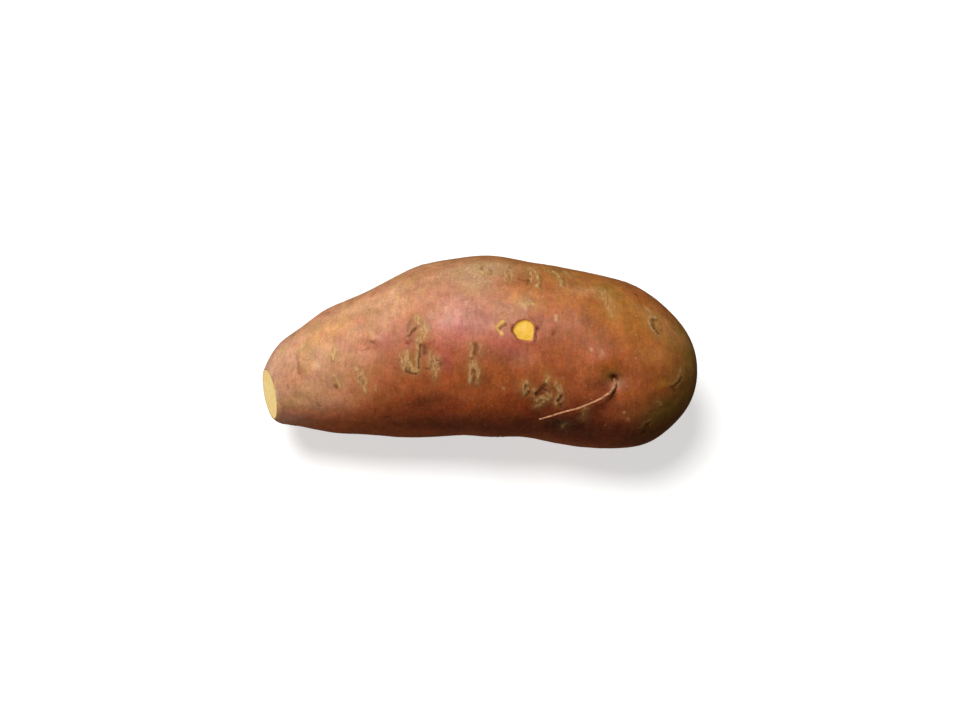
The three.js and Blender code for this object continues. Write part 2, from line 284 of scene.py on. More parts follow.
# The patch of torn skin: its corners along and up the root from its middle.
TORN_PLACE = (95.2, 109.8)
TORN_CORNERS = [
    (-4.3, -0.2), (-3.2, 1.9), (-2, 3.2), (-0.2, 3.9), (1.9, 3.6), (3.1, 2.2),
    (3.3, 0.2), (3, -1.3), (2.7, -3.2), (-0.4, -3.5), (-2.5, -3), (-3.6, -1.5),
]
TORN_DEPTH = 0.5
TORN_WANDER = 0.4
LIP_HEIGHT = 0.12
LIP_PLACE = 0.45
LIP_WIDTH = 0.4

# Fine relief of the skin: heights and sizes.
PALE_RISE = 0.12
CRUMBLE_SIZE = 1.0
WRINKLE_HEIGHT = 0.045
WRINKLE_SIZE = 1.1
BUMP_HEIGHT = 0.16
BUMP_SIZE = 9.0
FINE_BUMP_HEIGHT = 0.03
FINE_BUMP_SIZE = 1.6

# The dry rootlet: along, degrees, lift off the skin.
ROOTLET_ROUTE = [
    (125.7, 131.5, -2),
    (125.8, 134, 0.5),
    (124.5, 137.8, 1.5),
    (122.4, 140.6, 2),
    (120.1, 143.4, 2.2),
    (116.8, 147, 2.3),
    (113.3, 151.2, 2.1),
    (109.3, 155.6, 2),
    (105, 160.6, 1.7),
    (100.6, 165.4, 1.5),
]
ROOTLET_BASE_RADIUS = 0.66
ROOTLET_TIP_RADIUS = 0.3
ROOTLET_TAPER = 0.7
ROOTLET_FLATNESS = 0.82
ROOTLET_KINK = 0.25
ROOTLET_KINK_SIZE = 6.0
ROOTLET_KNOT = 0.07
ROOTLET_KNOT_SIZE = 1.7
ROOTLET_SIDES = 12
ROOTLET_STEPS = 90

# Patches of skin colour, laid one over another in this order. The dark umber, ember and shade patches low on
# the near side, and those round the pit's dimple, paint shade over the skin's colour; the lilac patches on
# the top paint sheen.
# colour, strength, along, degrees, reach along, reach in degrees.
TONES = [
    ("tan", 0.85, 16, 80, 26, 55),
    ("tan", 0.8, 50, 72, 26, 25),
    ("tan", 0.5, 24, 135, 14, 18),
    ("mauve", 0.7, 5, 105, 7, 70),
    ("peach", 0.55, 26, 84, 9, 12),
    ("honey", 0.5, 66, 52, 22, 12),
    # Painted sheen: pale lilac where the light's highlight falls on the top.
    ("lilac_and_painted_sheen", 0.5, 74, 94, 14, 12),
    ("lilac_and_painted_sheen", 0.8, 72, 108, 9, 8),
    ("honey", 0.6, 62, 98, 6, 7),
    ("tan", 0.45, 52, 92, 10, 10),
    ("rose", 0.75, 76, 112, 16, 9),
    ("rose", 0.6, 46, 113, 8, 10),
    ("magenta", 0.65, 56.5, 117, 3.2, 7),
    ("magenta", 0.7, 68.5, 129, 4, 9),
    ("magenta", 0.4, 72, 109, 7, 6),
    ("magenta", 0.4, 89, 122, 6, 6),
    ("honey", 0.75, 97, 87, 12, 10),
    ("khaki", 0.8, 112, 60, 28, 14),
    ("honey", 0.45, 113, 84, 10, 10),
    ("ochre", 0.85, 130, 86, 14, 22),
    ("sienna", 0.65, 120, 110, 15, 16),
    ("rust", 0.5, 101, 117, 5, 6),
    ("sienna", 0.5, 100, 134, 26, 12),
    ("clay", 0.5, 118, 118, 7, 8),
    ("rust", 0.6, 143, 120, 8, 14),
    ("khaki", 0.45, 146, 84, 8, 12),
    ("bronze", 0.75, 150, 104, 6, 60),
    ("rust", 0.5, 140, 146, 12, 10),
    ("amber", 0.8, 143.6, 133.6, 2.2, 3.2),
    ("rust", 0.5, 50, 150, 28, 9),
    # Painted shade: these ember and umber patches darken the skin low on the near side.
    ("ember_and_painted_shade", 0.6, 66, 162, 34, 9),
    ("ember_and_painted_shade", 0.75, 104, 158, 22, 11),
    ("umber_and_painted_shade", 0.8, 70, 178, 34, 12),
    ("umber_and_painted_shade", 0.8, 110, 180, 26, 16),
    ("bronze", 0.75, 150, 165, 14, 28),
    ("umber_and_painted_shade", 0.55, 136, 176, 14, 14),
    ("olive", 0.85, 158, 110, 8, 80),
    ("khaki", 0.55, 124.8, 76, 4, 10),
    ("ochre", 0.7, 129.4, 96, 5, 9),
    ("khaki", 0.65, 141.6, 86, 5, 9),
    ("olive", 0.6, 155, 95, 5, 25),
    ("olive", 0.6, 149.6, 159, 6, 12),
    ("bronze", 0.6, 142.3, 175, 8, 9),
    ("rust", 0.5, 144.5, 115, 6, 12),
    ("rose", 0.5, 119.9, 116, 3.5, 6),
    ("sienna", 0.6, 125.6, 118, 3, 6),
    ("olive", 0.3, 17.8, 142.5, 7, 10),
    ("rose", 0.4, 30.5, 142, 4, 6),
    ("mauve", 0.5, 12, 174, 9, 14),
    ("rust", 0.55, 87, 157, 9, 7),
    ("rust", 0.4, 39, 175, 6, 8),
    ("tan", 0.45, 22, 148, 14, 9),
    # Painted shade low on the near side.
    ("umber_and_painted_shade", 0.7, 116, 160, 10, 16),
    ("painted_shade", 0.92, 111, 171, 9, 10),
    ("ochre", 0.55, 140, 113, 6, 10),
    ("olive", 0.6, 147, 90, 5, 12),
    ("khaki", 0.5, 134, 80, 8, 9),
    ("khaki", 0.4, 118, 72, 9, 8),
    ("olive", 0.75, 143, 160, 8, 12),
    ("rust", 0.6, 136, 67, 2.2, 5),
    ("olive", 0.75, 141, 87, 1.7, 6),
    ("rose", 0.5, 58, 98, 6, 7),
    ("clay", 0.3, 58, 106, 6, 10),
    ("umber_and_painted_shade", 0.5, 78, 139, 4, 6),
    ("honey", 0.75, 144.5, 84, 6, 8),
    ("tan", 0.4, 40, 116, 5, 7),
    ("tan", 0.4, 31, 70, 6, 8),
    ("mauve", 0.15, 93, 126, 5, 6),
    ("umber_and_painted_shade", 0.2, 93, 140, 6, 5),
    ("rose", 0.5, 58, 110, 6, 6),
    ("rust", 0.5, 78, 140, 6, 6),
    ("rust", 0.35, 84, 140, 46, 6),
    # Painted shade in the dimple round the pit.
    ("umber_and_painted_shade", 0.65, 123.5, 133, 3.5, 6),
    ("umber_and_painted_shade", 0.4, 125, 122, 3, 6),
    ("olive", 0.5, 8, 117, 4, 12),
    ("sienna", 0.65, 60, 106, 5, 12),
    ("sienna", 0.35, 86, 112, 6, 6),
    # Painted shade low on the near side.
    ("umber_and_painted_shade", 0.6, 60, 155, 10, 6),
    ("rust", 0.35, 63, 138, 8, 6),
    ("umber_and_painted_shade", 0.35, 114, 150, 14, 6),
    ("umber_and_painted_shade", 0.75, 128, 167, 9, 8),
    ("honey", 0.45, 142, 112, 6, 9),
    ("khaki", 0.6, 147, 92, 4, 9),
    ("khaki", 0.5, 138, 77, 5, 8),
    ("clay", 0.8, 39, 176, 6, 6),
    ("rose", 0.45, 12, 118, 6, 12),
    ("tan", 0.35, 82, 85, 8, 7),
    ("tan", 0.3, 116, 74, 6, 6),
    ("khaki", 0.6, 100, 52, 14, 8),
    ("bronze", 0.5, 60.5, 110, 2.2, 8),
    ("bronze", 0.4, 55.5, 128, 2.5, 7),
    ("umber_and_painted_shade", 0.4, 120, 140, 4, 6),
    ("rose", 0.4, 59, 108, 4, 12),
    ("tan", 0.6, 60, 44, 30, 12),
    ("khaki", 0.6, 104, 40, 36, 12),
    # Painted shade round the pit, then the pit's pinkish lip.
    ("bronze", 0.75, 125.2, 127, 3.4, 6.5),
    ("rust", 0.6, 124, 122, 4, 5),
    ("rose", 0.6, 127.6, 134.5, 2, 3.5),
    ("lilac_and_painted_sheen", 0.5, 127.8, 134, 1.6, 3),
    ("dust", 0.7, 80, 64, 9, 9),
    ("dust", 0.4, 76, 80, 6, 8),
    # The umber and shade patches here paint shade on the lower half of the near side.
    ("umber_and_painted_shade", 0.5, 101, 153, 5, 6),
    ("painted_shade", 0.85, 109, 169, 6, 6),
    ("umber_and_painted_shade", 0.4, 78, 140, 5, 5),
    ("bronze", 0.3, 59, 112, 6, 5),
    ("umber_and_painted_shade", 0.3, 62, 139, 5, 5),
    ("clay", 0.35, 39, 133, 6, 6),
    ("honey", 0.4, 146, 88, 6, 10),
    ("honey", 0.5, 139, 78, 5, 7),
    ("olive", 0.5, 124, 71, 6, 7),
    ("mauve", 0.4, 8, 115, 5, 8),
    ("olive", 0.25, 12, 119, 6, 8),
    ("tan", 0.5, 30, 330, 26, 40),
    ("tan", 0.45, 120, 300, 20, 30),
    ("rose", 0.5, 90, 250, 30, 40),
    ("rust", 0.5, 45, 215, 20, 30),
    ("ember_and_painted_shade", 0.5, 84, 204, 46, 20),
    ("ochre", 0.5, 136, 325, 18, 40),
    ("mauve", 0.6, 8, 250, 8, 60),
    ("olive", 0.6, 154, 260, 9, 60),
]

# The edges of the patches wander by noise of this size, along the root and around it.
TONE_WANDER_SIZE = 9.0
TONE_WANDER_ALONG = 3.2
TONE_WANDER_DEGREES = 5.5

# Where dry soil dust clings in pale crumbs: along, degrees, reach along, reach in degrees, strength.
DUSTY = [
    (80, 64, 8, 8, 1.0),
    (79, 76, 6, 7, 0.7),
    (88, 62, 7, 7, 0.6),
    (70, 70, 6, 8, 0.5),
    (87, 100, 5, 6, 0.45),
    (96, 92, 3, 4, 0.6),
    (30, 108, 4, 5, 0.35),
    (112, 320, 16, 20, 0.6),
    (40, 300, 12, 20, 0.5),
]

# Colours from 0 to 255. The two mottles are tints that the skin's colour is multiplied by.
PALETTE = {
    "clay": (168, 88, 46),
    "tan": (204, 158, 120),
    "peach": (214, 152, 92),
    "mauve": (192, 150, 132),
    "honey": (192, 130, 74),
    # Lilac also paints the light's sheen on the top, and a pinkish lip by the pit.
    "lilac_and_painted_sheen": (206, 144, 126),
    "rose": (188, 108, 82),
    "magenta": (168, 70, 70),
    "khaki": (170, 114, 50),
    "ochre": (176, 110, 36),
    "sienna": (162, 86, 30),
    "rust": (164, 78, 20),
    "amber": (206, 140, 44),
    # Ember is a red brown that also paints shade low on the root.
    "ember_and_painted_shade": (150, 58, 8),
    # Umber colours the dark specks and also paints shade low on the near side and round the pit.
    "umber_and_painted_shade": (98, 34, 4),
    # Paints the deep shade low on the near side.
    "painted_shade": (62, 20, 3),
    "bronze": (148, 102, 30),
    "olive": (150, 120, 44),
    "dust": (196, 158, 118),
    "crumb": (234, 204, 170),
    "grit": (122, 106, 70),
    "mottle_pink": (242, 212, 232),
    "mottle_olive": (232, 240, 192),
    "cork": (216, 179, 120),
    "cork_deep": (124, 88, 40),
    "stain": (162, 122, 66),
    # Paints the shade inside slits, cracks and the pit.
    "slit": (88, 40, 6),
    "pale": (226, 184, 134),
    "nick": (226, 184, 92),
    "speck": (210, 152, 106),
    # A faint pale film that also paints the skin's sheen.
    "bloom_and_sheen": (236, 206, 182),
    "flesh": (224, 175, 30),
    "flesh_pale": (236, 185, 60),
    # Paints the shade inside the rim of the torn patch.
    "flesh_rim_shade": (200, 138, 50),
    "torn_edge": (116, 62, 22),
    "cut": (248, 228, 164),
    "cut_deep": (244, 204, 122),
    "rootlet": (188, 134, 94),
    "rootlet_deep": (126, 74, 46),
    "floor": (190, 190, 188),
    "glow": (255, 255, 255),
}

# How finely the skin is divided: rows along the root, and columns on its seen and hidden sides.
ROWS_TO_SHOULDER = 26
ROWS_ALONG_TRUNK = 200
ROWS_OVER_DOME = 78
SHOULDER = 13.0
SEEN_FROM = 62
SEEN_TO = 182
SEEN_COLUMNS = 170
HIDDEN_COLUMNS = 136
CUT_RINGS = 12
CUT_HALVINGS = 40

# The knife left the cut face slightly hollow, with low saw marks.
CUT_HOLLOW = 0.06
CUT_MIDDLE_HOLLOW = 0.05
SAW_HEIGHT = 0.05
SAW_SIZE = 1.5

# The map for textures: the skin's share of it, and the place and size of the cut face.
MAP_MARGIN = 0.005
SKIN_MAP = (0.84, 0.985)
CUT_MAP_PLACE = (0.925, 0.5)
CUT_MAP_SIZE = 0.06
CUT_REACH = 11.0

# Distances to the torn patch and the pit are kept up to this far.
FIELD_REACH = 3.0

# Soft mottling: tint, size, detail, noise offset, where it starts, where it is full, strength.
MOTTLES = [
    ("mottle_pink", 3.4, 2.0, 10.0, 0.46, 0.68, 0.35),
    ("mottle_olive", 2.8, 2.0, 20.0, 0.46, 0.68, 0.4),
    ("mottle_pink", 6.5, 3.0, 40.0, 0.48, 0.68, 0.5),
    ("mottle_olive", 7.5, 3.0, 50.0, 0.46, 0.66, 0.48),
]

# The floor and the wall round it, both pale and softly lit.
FLOOR_HALF = 3000.0
FLOOR_DROP = 0.02
FLOOR_GLOW = 0.6
WALL_RADIUS = 2900.0
WALL_HEIGHT = 2600.0
WALL_SIDES = 96
WALL_GLOW = 0.62

# The camera looks down on the root at the photograph's angle.
CAMERA_ELEVATION = 60.0
CAMERA_DISTANCE = 400.0
CAMERA_LENS = 40.6
SENSOR_WIDTH = 36.0
NEAREST_SEEN = 0.01
CAMERA_TARGET = np.array([0.7, -2.1, 29.9])

# One broad light hangs above the root, a little behind it and to the left of it.
# A weak one stands low on the left.
LIT_POINT = np.array([0.0, 0.0, 25.0])
KEY_DIRECTION = np.array([-0.28, 0.10, 1.0])
KEY_DISTANCE = 1600.0
KEY_SIZE = 700.0
KEY_POWER = 28.2
FILL_PLACE = np.array([-800.0, -330.0, 70.0])
FILL_SIZE = 300.0
FILL_POWER = 3.6
SKY_STRENGTH = 0.09
SKY_COLOUR = (1.0, 0.66, 0.42, 1.0)


def lattice_value(cells, seed):
    """A repeatable value from -1 to 1 for each whole-number cell."""
    x, y, z = (cells[..., i].astype(np.uint32) for i in range(3))
    mixed = x * np.uint32(374761393) + y * np.uint32(668265263) + z * np.uint32(3266489917)
    mixed = mixed + np.uint32(seed * 2654435761 % 2**32)
    mixed = (mixed ^ (mixed >> np.uint32(13))) * np.uint32(1274126177)
    mixed = mixed ^ (mixed >> np.uint32(16))
    return mixed.astype(np.float64) / (2**31) - 1


def noise(points, size, seed):
    """Smooth repeatable noise from -1 to 1, with blotches of the given size."""
    scaled = points / size + 1000
    base = np.floor(scaled)
    part = scaled - base
    part = part * part * (3 - 2 * part)
    cells = base.astype(np.int64)
    total = np.zeros(points.shape[:-1])
    for corner in np.ndindex(2, 2, 2):
        near = np.where(corner, part, 1 - part).prod(-1)
        total += near * lattice_value(cells + corner, seed)
    return total


def rough_noise(points, size, seed, layers=3):
    """Noise with finer layers added, each half as large and half as strong."""
    total = 0
    for layer in range(layers):
        total = total + noise(points, size / 2**layer, seed + layer) / 2**layer
    return total / (2 - 2 ** (1 - layers))


def smooth_step(value, low, high):
    part = np.clip((value - low) / (high - low), 0, 1)
    return part * part * (3 - 2 * part)


def curve_through(stops, place):
    """Points on a smooth curve through a few stops, at places counted in stops."""
    ends = np.vstack([2 * stops[0] - stops[1], stops, 2 * stops[-1] - stops[-2]])
    first = np.minimum(place.astype(int), len(stops) - 2)
    t = (place - first)[..., None]
    a, b, c, d = ends[first], ends[first + 1], ends[first + 2], ends[first + 3]
    lower = 2 * b + (c - a) * t + (2 * a - 5 * b + 4 * c - d) * t**2
    return 0.5 * (lower + (3 * b - a - 3 * c + d) * t**3)


def station_at(along):
    """The axis and radius at a distance along the root."""
    return curve_through(STATIONS, np.clip(along / STATION_STEP, 0, len(STATIONS) - 1))


def middle_radius(along):
    return float(station_at(np.array([along]))[0, 2])


def end_narrowing(along):
    into_nose = np.clip((NOSE_TIP + NOSE_LENGTH - along) / NOSE_LENGTH, 0, 1)
    into_dome = np.clip((along - DOME_TIP + DOME_LENGTH) / DOME_LENGTH, 0, 1)
    return np.sqrt(1 - into_nose**2) * (1 - into_dome**DOME_FULLNESS) ** (1 / DOME_FULLNESS)


def skin_radius(along):
    return middle_radius(along) * float(end_narrowing(np.array([along]))[0])


def degrees_apart(degrees, other):
    return np.mod(degrees - other + 180, 360) - 180


def surface_relief(along, around):
    height = 0
    for size, waves_along, waves_around, phase in LUMPS:
        lengthwise = np.sin(2 * np.pi * waves_along * along / STATION_SPAN + phase)
        height = height + size * lengthwise * np.cos(waves_around * around + 2.1 * phase)
    degrees = np.degrees(around)
    for at_along, at_degrees, size, *reach in SWELLINGS:
        height = height + size * patch_weight(along, degrees, at_along, at_degrees, *reach)
    return height


def skin_point(along, around, lift=0.0):
    """A point on the skin, or lifted off it, in millimetres."""
    along, around = np.broadcast_arrays(np.asarray(along, float), np.asarray(around, float))
    station = station_at(along)
    radius = end_narrowing(along) * (station[..., 2] + surface_relief(along, around)) + lift
    return np.stack([
        along - MIDDLE_ALONG,
        station[..., 0] + radius * np.cos(around),
        station[..., 1] + radius * np.sin(around),
    ], -1)


def cut_start(around):
    """How far along the root the knife cut lies, for each direction around it."""
    low = np.full(around.shape, NOSE_TIP + 1e-4)
    high = np.full(around.shape, SHOULDER)
    for _ in range(CUT_HALVINGS):
        middle = (low + high) / 2
        beyond = (skin_point(middle, around) - CUT_POINT) @ CUT_FACING > 0
        low = np.where(beyond, middle, low)
        high = np.where(beyond, high, middle)
    return high


def rounded_line(corners):
    """A line through marks on the skin with its corners cut twice, so that it bends smoothly."""
    line = np.array(corners, float)
    for _ in range(2):
        if len(line) > 2:
            early = 0.75 * line[:-1] + 0.25 * line[1:]
            late = 0.25 * line[:-1] + 0.75 * line[1:]
            middle = np.stack([early, late], 1).reshape(-1, 2)
            line = np.vstack([line[:1], middle[1:-1], line[-1:]])
    return line


def segment_distance(x, y, start, end):
    """The distance from each place to a straight stretch between two points."""
    step_x, step_y = end[0] - start[0], end[1] - start[1]
    t = ((x - start[0]) * step_x + (y - start[1]) * step_y) / (step_x**2 + step_y**2)
    t = np.clip(t, 0, 1)
    return np.hypot(x - start[0] - t * step_x, y - start[1] - t * step_y)


def line_distance(along, degrees, corners, wander):
    """The distance in millimetres from each place on the skin to a line drawn on it."""
    line = rounded_line(corners)
    centre = line.mean(0)
    per_degree = skin_radius(centre[0]) * math.pi / 180
    x = along - centre[0] + wander[0]
    y = degrees_apart(degrees, centre[1]) * per_degree + wander[1]
    reach = LINE_REACH + np.abs((line - centre) * (1, per_degree)).max(0)
    near = (np.abs(x) < reach[0]) & (np.abs(y) < reach[1])
    nearest = np.full(along.shape, FAR_FROM_LINE)
    best = nearest[near]
    points = (line - centre) * (1, per_degree)
    for start, end in zip(points[:-1], points[1:]):
        best = np.minimum(best, segment_distance(x[near], y[near], start, end))
    nearest[near] = best
    return nearest


def mark_amount(along, degrees, marks, wander, halo=False):
    """How strongly marks of one kind, or the halo round them, show at each place, from 0 to 1."""
    amount = np.zeros(along.shape)
    for strength, half_width, corners in marks:
        distance = line_distance(along, degrees, corners, wander)
        if halo:
            spread = np.maximum(distance - half_width, 0) / STAIN_REACH
        else:
            spread = distance / (half_width + MARK_SOFTNESS)
        amount = np.maximum(amount, strength * np.exp(-(spread**2)))
    return amount


def polygon_field(x, y, corners):
    """The signed distance to a polygon's outline: below zero inside it."""
    inside = np.zeros(x.shape, bool)
    nearest = np.full(x.shape, 1e3)
    for start, end in zip(corners, corners[1:] + corners[:1]):
        nearest = np.minimum(nearest, segment_distance(x, y, start, end))
        (ax, ay), (bx, by) = start, end
        crosses = (ay > y) != (by > y)
        at_x = ax + (y - ay) * (bx - ax) / ((by - ay) or 1e-9)
        inside ^= crosses & (x < at_x)
    return np.where(inside, -nearest, nearest)


def hidden_marks():
    """Scars of the far side and belly: a corky lip on each side of a slit."""
    cork = []
    slits = []
    for i in range(HIDDEN_SCARS):
        degrees = HIDDEN_FROM + HIDDEN_SWEEP * ((i * GOLDEN_TURN) % 1)
        if abs(degrees - BELLY_MIDDLE) <= BELLY_CLEAR:
            continue
        along = HIDDEN_FIRST + HIDDEN_STEP * i
        half_length = HIDDEN_LENGTHS[i % len(HIDDEN_LENGTHS)] / 2
        width = HIDDEN_WIDTHS[i % len(HIDDEN_WIDTHS)]
        lean = -math.tan(math.radians(HIDDEN_LEANS[i % len(HIDDEN_LEANS)])) * half_length
        span = half_length / skin_radius(along) * 180 / math.pi
        gap = width / 3
        for side in (-1, 1):
            cork.append((0.8, width / 6, [
                (along + 0.3 * side * gap - lean, degrees + span),
                (along + 1.2 * side * gap, degrees),
                (along + 0.3 * side * gap + lean, degrees - span),
            ]))
        slits.append((0.8, 0.3, [
            (along - 0.6 * lean, degrees + 0.6 * span),
            (along + 0.6 * lean, degrees - 0.6 * span),
        ]))
    return cork, slits


def column_directions():
    """The directions around the root, closer together where its marks are seen best."""
    seen = np.linspace(SEEN_FROM, SEEN_TO, SEEN_COLUMNS, endpoint=False)
    hidden = np.linspace(SEEN_TO, SEEN_FROM + 360, HIDDEN_COLUMNS, endpoint=False)
    return np.radians(np.concatenate([seen, hidden]))


def row_places(around):
    """The distances along the root of every row, starting at the knife cut in each direction."""
    start = cut_start(around)
    shoulder = np.linspace(0, 1, ROWS_TO_SHOULDER, endpoint=False)[:, None]
    nose = start + (SHOULDER - start) * shoulder
    dome_start = DOME_TIP - DOME_LENGTH
    trunk = np.linspace(SHOULDER, dome_start, ROWS_ALONG_TRUNK, endpoint=False)
    angle = np.linspace(0, 0.5 * np.pi, ROWS_OVER_DOME, endpoint=False)
    dome = dome_start + DOME_LENGTH * np.sin(angle)
    rest = np.concatenate([trunk, dome])[:, None] + np.zeros(around.shape)
    return np.vstack([nose, rest])


def mark_fields(along, degrees, points):
    """How strongly each kind of mark shows, and the distances to the torn patch and the pit."""
    wander = [
        sum(height * noise(points, size, seed + later) for height, size, later in MARK_WANDER)
        for seed in WANDER_SEEDS
    ]
    hidden_cork, hidden_slits = hidden_marks()
    torn_x = along - TORN_PLACE[0] + TORN_WANDER * wander[0]
    torn_y = -degrees_apart(degrees, TORN_PLACE[1]) * middle_radius(TORN_PLACE[0]) * math.pi / 180
    torn_y = torn_y + TORN_WANDER * wander[1]
    pit_y = degrees_apart(degrees, PIT_PLACE[1]) * middle_radius(PIT_PLACE[0]) * math.pi / 180
    return {
        "cork": mark_amount(along, degrees, CORK_MARKS + hidden_cork, wander),
        "slit": mark_amount(along, degrees, SLIT_MARKS + hidden_slits, wander),
        "pale": mark_amount(along, degrees, PALE_MARKS, wander),
        "nick": mark_amount(along, degrees, NICK_MARKS, wander),
        "stain": mark_amount(along, degrees, CORK_MARKS + hidden_cork, wander, halo=True),
        "torn": polygon_field(torn_x, torn_y, TORN_CORNERS),
        "pit": np.hypot(along - PIT_PLACE[0], 0.85 * pit_y) - PIT_RADIUS,
    }


def skin_relief(points, fields):
    """How far the skin stands out at each point, in millimetres: marks, wrinkles and fine bumps."""
    crumble = 0.5 + 0.5 * rough_noise(points * (1.0, 0.7, 0.7), CRUMBLE_SIZE, 21, 2)
    cork = fields["cork"] * CORK_RISE * (0.1 + 1.4 * crumble)
    slit = fields["slit"] * SLIT_DEPTH
    torn = smooth_step(-fields["torn"], -0.1, 0.3) * TORN_DEPTH
    lip = np.exp(-((fields["torn"] - LIP_PLACE) / LIP_WIDTH) ** 2) * LIP_HEIGHT * (0.4 + crumble)
    pit = PIT_DEPTH * np.exp(-(np.maximum(fields["pit"] + PIT_RADIUS, 0) / (0.8 * PIT_RADIUS)) ** 2)
    pale = fields["pale"] * PALE_RISE
    wrinkles = WRINKLE_HEIGHT * rough_noise(points * (1.0, 0.3, 0.3), WRINKLE_SIZE, 31, 2)
    bumps = BUMP_HEIGHT * rough_noise(points, BUMP_SIZE, 41, 3)
    bumps = bumps + FINE_BUMP_HEIGHT * noise(points, FINE_BUMP_SIZE, 51)
    calm = 1 - 0.8 * smooth_step(-fields["torn"], 0.0, 0.3)
    return cork - slit - torn + lip - pit + pale + calm * (wrinkles + bumps)


def patch_weight(along, degrees, at_along, at_degrees, reach_along, reach_degrees):
    turned = degrees_apart(degrees, at_degrees) / reach_degrees
    return np.exp(-(((along - at_along) / reach_along) ** 2) - turned**2)


def skin_tone(along, degrees, points):
    """The skin's broad colour at each place, with painted shade low on the near side and round the pit and
    painted sheen on the top, from patches with wandering edges.
    """
    drift = TONE_WANDER_ALONG * rough_noise(points, TONE_WANDER_SIZE, 81, 3)
    turn = TONE_WANDER_DEGREES * rough_noise(points, TONE_WANDER_SIZE, 91, 3)
    tone = np.zeros(along.shape + (3,)) + linear("clay")
    for name, strength, *patch in TONES:
        weight = patch_weight(along + drift, degrees + turn, *patch)
        tone += strength * weight[..., None] * (linear(name) - tone)
    return tone


def dust_amount(along, degrees):
    clean = np.ones(along.shape)
    for *patch, strength in DUSTY:
        clean *= 1 - strength * patch_weight(along, degrees, *patch)
    return 1 - clean


def linear(name):
    """A palette colour in the linear numbers that shaders use."""
    parts = np.array(PALETTE[name]) / 255
    return np.where(parts <= 0.04045, parts / 12.92, ((parts + 0.055) / 1.055) ** 2.4)


def grid_faces(rows, columns):
    """The four-sided faces between rows of points that close round the root."""
    row, column = np.mgrid[0:rows - 1, 0:columns]
    following = (column + 1) % columns
    corners = [
        row * columns + column,
        row * columns + following,
        (row + 1) * columns + following,
        (row + 1) * columns + column,
    ]
    return np.stack(corners, -1).reshape(-1, 4)


def build_mesh(name, points, faces):
    mesh = bpy.data.meshes.new(name)
    mesh.from_pydata((points * MM).tolist(), [], faces)
    mesh.update()
    mesh.polygons.foreach_set("use_smooth", np.ones(len(mesh.polygons), bool))
    piece = bpy.data.objects.new(name, mesh)
    bpy.context.scene.collection.objects.link(piece)
    return piece


def store(mesh, name, values):
    layer = mesh.attributes.new(name, "FLOAT", "POINT")
    layer.data.foreach_set("value", np.asarray(values, np.float32))


def store_colour(mesh, name, tones):
    layer = mesh.color_attributes.new(name, "FLOAT_COLOR", "POINT")
    with_alpha = np.concatenate([tones, np.ones((len(tones), 1))], 1)
    layer.data.foreach_set("color", with_alpha.astype(np.float32).ravel())


def cut_face_points(rim):
    """Rings of points on the knife cut, shrinking from its rim to its middle."""
    middle = rim.mean(0)
    shrink = 1 - (np.arange(1, CUT_RINGS) / CUT_RINGS)
    rings = middle + (rim - middle) * shrink[:, None, None]
    flat = rings.reshape(-1, 3)
    saw = SAW_HEIGHT * noise(flat * (1, 1, 3), SAW_SIZE, 61)
    inner = flat - CUT_FACING * (CUT_HOLLOW + saw)[:, None]
    return np.vstack([inner, middle - CUT_FACING * CUT_MIDDLE_HOLLOW]), np.repeat(shrink, len(rim))


def map_layout(mesh, along_share, around_share, cut_faces):
    """A map of the surface for its textures: the skin unrolled, with the cut face beside it."""
    layer = mesh.uv_layers.new(name="OFBake")
    corners = np.zeros(len(mesh.loops), int)
    mesh.loops.foreach_get("vertex_index", corners)
    loop_face = np.repeat(np.arange(len(mesh.polygons)), [len(p.vertices) for p in mesh.polygons])
    u = along_share[corners]
    v = around_share[corners].copy()
    high = np.zeros(len(mesh.polygons))
    np.maximum.at(high, loop_face, v)
    v = np.where((high[loop_face] > 0.75) & (v < 0.25), v + 1, v)
    u = MAP_MARGIN + SKIN_MAP[0] * u
    v = MAP_MARGIN + SKIN_MAP[1] * v
    on_cut = cut_faces[loop_face]
    place = np.zeros(len(mesh.vertices) * 3)
    mesh.vertices.foreach_get("co", place)
    place = place.reshape(-1, 3)[corners] / MM - CUT_POINT
    side = np.cross(CUT_FACING, (0, 0, 1))
    side = side / np.linalg.norm(side)
    up = np.cross(side, CUT_FACING)
    scale = CUT_MAP_SIZE / CUT_REACH
    u = np.where(on_cut, CUT_MAP_PLACE[0] + scale * (place @ side), u)
    v = np.where(on_cut, CUT_MAP_PLACE[1] + scale * (place @ up), v)
    layer.data.foreach_set("uv", np.stack([u, v], -1).ravel())


